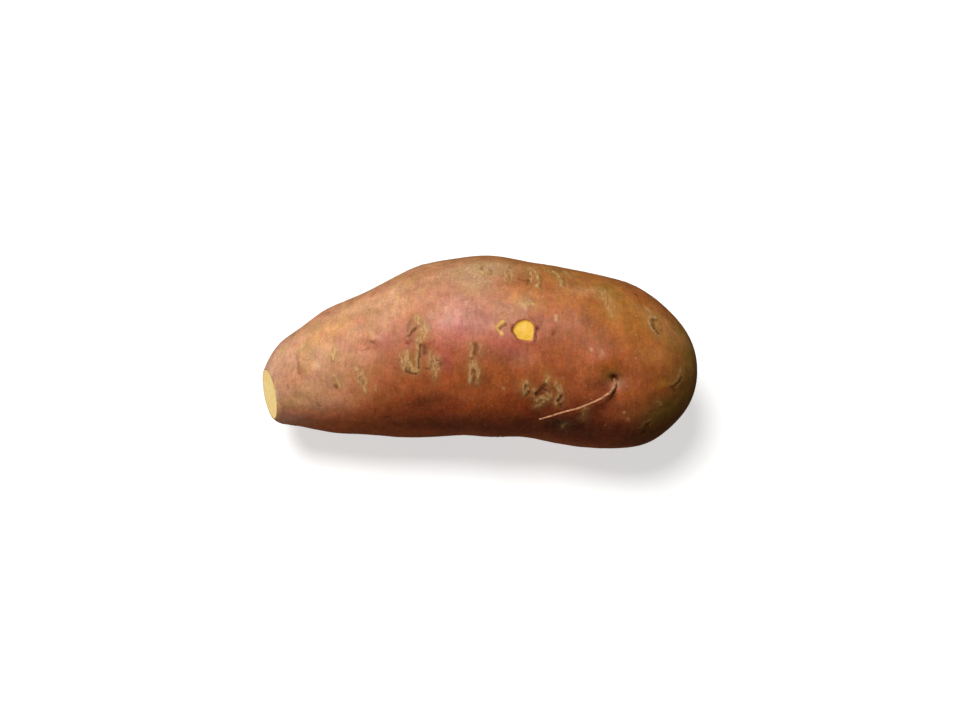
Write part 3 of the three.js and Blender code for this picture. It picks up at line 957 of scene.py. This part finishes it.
def make_root():
    around = column_directions()
    along = row_places(around)
    rows, columns = along.shape
    directions = np.broadcast_to(around, along.shape)
    degrees = np.mod(np.degrees(directions), 360)
    smooth = skin_point(along, directions)
    fields = mark_fields(along, degrees, smooth)
    relief = skin_relief(smooth, fields)
    from_cut = -(smooth - CUT_POINT) @ CUT_FACING
    relief = relief * smooth_step(from_cut, 0.0, 1.0)
    skin = skin_point(along, directions, relief)
    skin[0] = smooth[0] - ((smooth[0] - CUT_POINT) @ CUT_FACING)[:, None] * CUT_FACING
    skin[..., 2] = np.maximum(skin[..., 2], 0.0)

    tip = skin_point(DOME_TIP, 0.0)
    cut, cut_radius = cut_face_points(skin[0])
    points = np.vstack([skin.reshape(-1, 3), tip, cut])
    tip_index = rows * columns
    cut_first = tip_index + 1
    cut_middle = len(points) - 1

    faces = grid_faces(rows, columns).tolist()
    last = (rows - 1) * columns
    for column in range(columns):
        faces.append((last + column, last + (column + 1) % columns, tip_index))
    skin_faces = len(faces)
    ring_starts = [0] + [cut_first + ring * columns for ring in range(CUT_RINGS - 1)]
    for outer, inner in zip(ring_starts[:-1], ring_starts[1:]):
        for column in range(columns):
            following = (column + 1) % columns
            faces.append((outer + following, outer + column, inner + column, inner + following))
    for column in range(columns):
        following = (column + 1) % columns
        faces.append((ring_starts[-1] + following, ring_starts[-1] + column, cut_middle))

    root = build_mesh("root_skin", points, faces)
    mesh = root.data
    extra = len(points) - rows * columns
    for name, field in fields.items():
        away = FIELD_REACH if name in ("torn", "pit") else 0.0
        kept = np.clip(field, -FIELD_REACH, FIELD_REACH).ravel()
        store(mesh, name, np.concatenate([kept, np.full(extra, away)]))
    dust = dust_amount(along, degrees).ravel()
    store(mesh, "dust", np.concatenate([dust, np.zeros(extra)]))
    tone = skin_tone(along, degrees, smooth).reshape(-1, 3)
    tip_tone = tone[last:].mean(0)
    store_colour(mesh, "tone", np.vstack([tone, np.tile(tip_tone, (extra, 1))]))
    store(mesh, "rim_share", np.concatenate([np.ones(rows * columns + 1), cut_radius, [0.0]]))

    cut_faces = np.arange(len(faces)) >= skin_faces
    mesh.polygons.foreach_set("material_index", cut_faces.astype(np.int32))
    along_share = np.concatenate([(along / DOME_TIP).ravel(), [1.0], np.zeros(extra - 1)])
    turned = np.mod(degrees - BELLY_MIDDLE, 360) / 360
    around_share = np.concatenate([turned.ravel(), [0.5], np.zeros(extra - 1)])
    map_layout(mesh, along_share, around_share, cut_faces)
    sharpen_rim(mesh, columns)
    return root


def sharpen_rim(mesh, columns):
    """Keeps the edge between skin and cut face crisp."""
    for edge in mesh.edges:
        a, b = edge.vertices
        edge.use_edge_sharp = a < columns and b < columns


def make_rootlet():
    stops = np.array([skin_point(a, math.radians(d), lift) for a, d, lift in ROOTLET_ROUTE])
    route = curve_through(stops, np.linspace(0, len(stops) - 1, ROOTLET_STEPS))
    share = np.linspace(0, 1, ROOTLET_STEPS)
    kink = np.stack([noise(route, ROOTLET_KINK_SIZE, seed) for seed in (71, 72, 73)], -1)
    route = route + ROOTLET_KINK * kink * smooth_step(share, 0.05, 0.3)[:, None]
    radius = ROOTLET_BASE_RADIUS + (ROOTLET_TIP_RADIUS - ROOTLET_BASE_RADIUS) * share**ROOTLET_TAPER
    radius = radius * (1 + ROOTLET_KNOT * noise(route, ROOTLET_KNOT_SIZE, 74))
    heading = np.gradient(route, axis=0)
    heading = heading / np.linalg.norm(heading, axis=1, keepdims=True)
    first = np.cross(heading, (0, 0, 1.0))
    first = first / np.linalg.norm(first, axis=1, keepdims=True)
    second = ROOTLET_FLATNESS * np.cross(heading, first)
    sides = ROOTLET_SIDES
    turn = np.linspace(0, 2 * np.pi, sides, endpoint=False)[None, :, None]
    ring = np.cos(turn) * first[:, None] + np.sin(turn) * second[:, None]
    tube = (route[:, None] + radius[:, None, None] * ring).reshape(-1, 3)
    points = np.vstack([tube, route[:1], route[-1:]])
    faces = grid_faces(ROOTLET_STEPS, sides).tolist()
    base, tip = len(points) - 2, len(points) - 1
    last = (ROOTLET_STEPS - 1) * sides
    for side in range(sides):
        following = (side + 1) % sides
        faces.append((following, side, base))
        faces.append((last + side, last + following, tip))
    rootlet = build_mesh("rootlet", points, faces)
    store(rootlet.data, "rootlet_share", np.concatenate([np.repeat(share, sides), [0.0, 1.0]]))
    return rootlet


def colour(name):
    return (*linear(name).tolist(), 1.0)


class Shader:
    """One material's nodes. Sizes are in millimetres."""

    def __init__(self, name):
        self.material = bpy.data.materials.new(name)
        self.material.use_nodes = True
        self.tree = self.material.node_tree
        self.tree.nodes.clear()
        self.coordinates = self.node("ShaderNodeTexCoord", {})["Object"]

    def node(self, kind, inputs, **settings):
        """Adds a node, links or sets its inputs, and gives its outputs."""
        node = self.tree.nodes.new(kind)
        for name, value in settings.items():
            setattr(node, name, value)
        for name, value in inputs.items():
            if isinstance(value, bpy.types.NodeSocket):
                self.tree.links.new(value, node.inputs[name])
            else:
                node.inputs[name].default_value = value
        return node.outputs

    def math(self, operation, a, b):
        return self.node("ShaderNodeMath", {0: a, 1: b}, operation=operation)[0]

    def times(self, a, b):
        return self.math("MULTIPLY", a, b)

    def mix(self, factor, a, b, blend="MIX"):
        inputs = {"Fac": factor, "Color1": a, "Color2": b}
        return self.node("ShaderNodeMixRGB", inputs, blend_type=blend)["Color"]

    def cover(self, tone, factor, name):
        """Lays a palette colour over another colour."""
        return self.mix(factor, tone, colour(name))

    def step(self, value, low, high, to_low=0.0, to_high=1.0):
        """Turns the range from low to high into another range, with soft ends."""
        inputs = {"Value": value, "From Min": low, "From Max": high, "To Min": to_low, "To Max": to_high}
        return self.node("ShaderNodeMapRange", inputs, interpolation_type="SMOOTHSTEP")["Result"]

    def shaded(self, tone, value, darkest, lightest):
        """Darkens and lightens a colour where a noise is low and high."""
        part = self.step(value, 0.3, 0.7, darkest, lightest)
        grey = self.node("ShaderNodeCombineColor", {"Red": part, "Green": part, "Blue": part})[0]
        return self.mix(1.0, tone, grey, "MULTIPLY")

    def stretched(self, factors):
        inputs = {"Vector": self.coordinates, "Scale": factors}
        return self.node("ShaderNodeMapping", inputs)["Vector"]

    def noise(self, size, detail=2.0, roughness=0.5, vector=None, offset=0.0):
        inputs = {
            "Vector": vector or self.coordinates,
            "W": offset,
            "Scale": 1 / (size * MM),
            "Detail": detail,
            "Roughness": roughness,
        }
        return self.node("ShaderNodeTexNoise", inputs, noise_dimensions="4D")["Fac"]

    def dots(self, size):
        """The distance to scattered points, in shares of their spacing, and a random value for each."""
        inputs = {"Vector": self.coordinates, "Scale": 1 / (size * MM), "Randomness": 1.0}
        outputs = self.node("ShaderNodeTexVoronoi", inputs, feature="F1")
        return outputs["Distance"], outputs["Color"]

    def attribute(self, name, output="Fac"):
        return self.node("ShaderNodeAttribute", {}, attribute_name=name)[output]

    def bump(self, height, distance, strength, normal=None):
        inputs = {"Height": height, "Distance": distance * MM, "Strength": strength}
        if normal:
            inputs["Normal"] = normal
        return self.node("ShaderNodeBump", inputs)["Normal"]

    def finish(self, base, roughness, normal, **constants):
        inputs = {"Base Color": base, "Roughness": roughness}
        if normal:
            inputs["Normal"] = normal
        for name, value in constants.items():
            inputs[name.replace("_", " ")] = value
        surface = self.node("ShaderNodeBsdfPrincipled", inputs)
        self.node("ShaderNodeOutputMaterial", {"Surface": surface[0]})
        return self.material


def skin_material():
    """Thin satin skin with fine mottling and specks, a faint pale film that also paints sheen, flaky cork,
    slits and a pit darkened with painted shade, dust, and torn flesh with painted shade along its rim.
    """
    s = Shader("root_skin")
    tone = s.attribute("tone", "Color")
    for tint, size, detail, offset, start, full, strength in MOTTLES:
        blotch = s.step(s.noise(size, detail, offset=offset), start, full, 0.0, strength)
        tone = s.mix(blotch, tone, colour(tint), "MULTIPLY")
    tone = s.shaded(tone, s.noise(5.0, 4.0, 0.6, offset=30.0), 0.84, 1.18)

    streaks = s.noise(0.9, 3.0, 0.6, s.stretched((1.0, 0.22, 0.22)), 60.0)
    tone = s.shaded(tone, streaks, 0.9, 1.1)
    grain = s.noise(0.6, 4.0, 0.7, offset=70.0)
    tone = s.shaded(tone, grain, 0.82, 1.14)

    # A faint pale film over the skin, which also paints its sheen.
    bloom_and_sheen = s.step(s.noise(1.1, 5.0, 0.8, offset=80.0), 0.42, 0.68, 0.0, 0.06)
    tone = s.cover(tone, bloom_and_sheen, "bloom_and_sheen")

    distance, random = s.dots(2.6)
    near = s.step(distance, 0.16, 0.08)
    speck = s.times(near, s.step(random, 0.6, 0.9, 0.0, 0.6))
    tone = s.cover(tone, speck, "speck")
    distance, random = s.dots(3.7)
    near = s.step(distance, 0.12, 0.05)
    dark_speck = s.times(near, s.step(random, 0.55, 0.9, 0.0, 0.7))
    tone = s.cover(tone, dark_speck, "umber_and_painted_shade")

    dust = s.attribute("dust")
    film = s.times(dust, s.step(s.noise(1.5, 4.0, 0.7, offset=90.0), 0.36, 0.62, 0.2, 0.9))
    tone = s.cover(tone, film, "dust")
    grit = s.step(s.noise(1.0, 3.0, 0.7, offset=97.0), 0.55, 0.66)
    tone = s.cover(tone, s.times(grit, s.times(dust, 0.9)), "grit")
    crumbs = s.step(s.noise(0.95, 3.0, 0.7, offset=95.0), 0.54, 0.64)
    tone = s.cover(tone, s.times(crumbs, s.times(dust, 0.85)), "crumb")

    fray = s.noise(0.7, 3.0, 0.7, offset=100.0)
    patchy = s.step(s.noise(1.2, 3.0, 0.6, offset=105.0), 0.3, 0.7, 0.2, 0.6)
    stain = s.times(s.attribute("stain"), patchy)
    tone = s.cover(tone, stain, "stain")
    flakes = s.noise(1.0, 4.0, 0.7, s.stretched((1.3, 0.45, 0.45)), 110.0)
    cork_tone = s.cover(colour("cork_deep"), s.step(flakes, 0.38, 0.58), "cork")
    cork_tone = s.mix(0.22, cork_tone, tone)
    cover = s.times(s.attribute("cork"), s.step(fray, 0.3, 0.6, 0.5, 1.08))
    tone = s.mix(cover, tone, cork_tone)

    pale = s.times(s.attribute("pale"), s.step(fray, 0.3, 0.7, 0.4, 0.9))
    tone = s.cover(tone, pale, "pale")

    # The dark slit colour paints the shade inside the cracks.
    slit = s.times(s.attribute("slit"), s.step(fray, 0.3, 0.65, 1.25, 0.75))
    tone = s.cover(tone, slit, "slit")

    nick = s.times(s.attribute("nick"), s.step(fray, 0.3, 0.6, 0.7, 1.1))
    tone = s.cover(tone, nick, "nick")

    edge_drift = s.step(fray, 0.25, 0.75, -0.42, 0.42)
    pit_edge = s.math("ADD", s.attribute("pit"), edge_drift)
    tone = s.cover(tone, s.step(pit_edge, 2.2, 0.0, 0.0, 0.55), "cork_deep")
    # The pit's dark core is painted shade inside the hole.
    tone = s.cover(tone, s.step(pit_edge, 0.4, -0.8, 0.0, 0.95), "slit")

    torn_edge = s.math("ADD", s.attribute("torn"), s.times(edge_drift, 0.3))
    tone = s.cover(tone, s.step(torn_edge, 0.5, 0.1, 0.0, 0.2), "torn_edge")
    ripeness = s.step(s.noise(1.6, 3.0, offset=120.0), 0.35, 0.65)
    flesh_tone = s.cover(colour("flesh"), ripeness, "flesh_pale")
    # Painted shade darkens the torn flesh along the patch's sunken rim.
    flesh_tone = s.cover(flesh_tone, s.step(torn_edge, -1.1, 0.0, 0.0, 0.5), "flesh_rim_shade")
    tone = s.mix(s.step(torn_edge, 0.12, -0.45), tone, flesh_tone)

    roughness = s.step(s.noise(2.2, 3.0, 0.6, offset=130.0), 0.3, 0.7, 0.39, 0.52)
    matt = s.math("MAXIMUM", s.math("MAXIMUM", cover, slit), dust)
    roughness = s.math("ADD", roughness, s.times(matt, 0.35))

    skin_height = s.math("ADD", s.times(streaks, 0.5), s.times(grain, 0.6))
    normal = s.bump(skin_height, 0.16, 0.5)
    crumb_height = s.times(flakes, cover)
    normal = s.bump(crumb_height, 0.2, 0.6, normal)
    normal = s.bump(s.times(crumbs, dust), 0.15, 0.7, normal)
    return s.finish(tone, roughness, normal, Specular_IOR_Level=0.3)


def cut_material():
    """Pale cut flesh with a darker ring inside the skin and fine specks."""
    s = Shader("cut_flesh")
    share = s.math("ADD", s.attribute("rim_share"), s.step(s.noise(1.4, 3.0), 0.2, 0.8, -0.02, 0.02))
    tone = s.cover(colour("cut_deep"), s.step(s.noise(1.1, 4.0, 0.6, offset=5.0), 0.35, 0.65), "cut")
    ring = s.times(s.step(share, 0.78, 0.84), s.step(share, 0.9, 0.84))
    tone = s.cover(tone, s.times(ring, 0.5), "cut_deep")
    tone = s.cover(tone, s.step(share, 0.93, 0.985, 0.0, 0.85), "torn_edge")
    distance, random = s.dots(1.1)
    speck = s.times(s.step(distance, 0.26, 0.12), s.step(random, 0.5, 0.55))
    tone = s.cover(tone, s.times(speck, 0.55), "rootlet")
    grain = s.noise(0.4, 3.0, 0.6, offset=9.0)
    roughness = s.step(grain, 0.3, 0.7, 0.5, 0.68)
    return s.finish(tone, roughness, s.bump(grain, 0.15, 0.5), Specular_IOR_Level=0.4)


def rootlet_material():
    """Dry wiry bark, darker in its furrows and towards the base."""
    s = Shader("rootlet_bark")
    furrow = s.noise(0.8, 4.0, 0.6, s.stretched((0.35, 1.0, 1.0)))
    tone = s.cover(colour("rootlet_deep"), s.step(furrow, 0.3, 0.62), "rootlet")
    base = s.step(s.attribute("rootlet_share"), 0.22, 0.0, 0.0, 0.7)
    tone = s.cover(tone, base, "rootlet_deep")
    return s.finish(tone, 0.62, s.bump(furrow, 0.1, 0.5), Specular_IOR_Level=0.4)


def pale_material(name, strength):
    """A softly glowing pale surface, the same for the floor and the wall."""
    s = Shader(name)
    tone = s.shaded(colour("floor"), s.noise(60.0), 0.99, 1.0)
    glow = colour("glow")
    return s.finish(tone, 0.8, None, Specular_IOR_Level=0.1, Emission_Color=glow, Emission_Strength=strength)


def make_floor():
    corners = FLOOR_HALF * np.array([(-1, -1, 0), (1, -1, 0), (1, 1, 0), (-1, 1, 0)])
    floor = build_mesh("floor", corners, [(0, 1, 2, 3)])
    floor.location.z = -FLOOR_DROP * MM
    floor.data.materials.append(pale_material("pale_floor", FLOOR_GLOW))
    floor.visible_diffuse = False
    floor.visible_glossy = False


def make_wall():
    """A round pale wall far behind, for views from low down."""
    turn = np.linspace(0, 2 * np.pi, WALL_SIDES, endpoint=False)
    ring = WALL_RADIUS * np.stack([np.cos(turn), np.sin(turn), np.zeros(WALL_SIDES)], -1)
    points = np.vstack([ring, ring + (0, 0, WALL_HEIGHT)])
    wall = build_mesh("wall", points, grid_faces(2, WALL_SIDES).tolist())
    wall.data.materials.append(pale_material("pale_wall", WALL_GLOW))
    wall.visible_diffuse = False
    wall.visible_glossy = False
    wall.visible_shadow = False


def aim(thing, place, target):
    thing.location = (place * MM).tolist()
    thing.rotation_euler = Vector((target - place).tolist()).to_track_quat("-Z", "Y").to_euler()


def make_camera():
    slope = math.radians(CAMERA_ELEVATION)
    place = CAMERA_TARGET + CAMERA_DISTANCE * np.array([0.0, -math.cos(slope), math.sin(slope)])
    data = bpy.data.cameras.new("camera")
    data.lens = CAMERA_LENS
    data.sensor_width = SENSOR_WIDTH
    data.clip_start = NEAREST_SEEN
    camera = bpy.data.objects.new("camera", data)
    bpy.context.scene.collection.objects.link(camera)
    aim(camera, place, CAMERA_TARGET)
    bpy.context.scene.camera = camera


def make_light(name, place, size, power):
    data = bpy.data.lights.new(name, "AREA")
    data.shape = "DISK"
    data.size = size * MM
    data.energy = power
    light = bpy.data.objects.new(name, data)
    bpy.context.scene.collection.objects.link(light)
    aim(light, place, LIT_POINT)


def make_studio():
    direction = KEY_DIRECTION / np.linalg.norm(KEY_DIRECTION)
    make_light("key", LIT_POINT + KEY_DISTANCE * direction, KEY_SIZE, KEY_POWER)
    make_light("fill", FILL_PLACE, FILL_SIZE, FILL_POWER)
    world = bpy.data.worlds.new("studio")
    world.use_nodes = True
    sky = world.node_tree.nodes["Background"].inputs
    sky["Color"].default_value = SKY_COLOUR
    sky["Strength"].default_value = SKY_STRENGTH
    bpy.context.scene.world = world
    bpy.context.scene.view_settings.view_transform = "Standard"


def dress(piece):
    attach(piece, "root")
    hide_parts(NODE)


make_camera()
make_floor()
make_wall()
make_studio()

root_skin = make_root()
root_skin.data.materials.append(skin_material())
root_skin.data.materials.append(cut_material())
dress(root_skin)

rootlet = make_rootlet()
rootlet.data.materials.append(rootlet_material())
dress(rootlet)
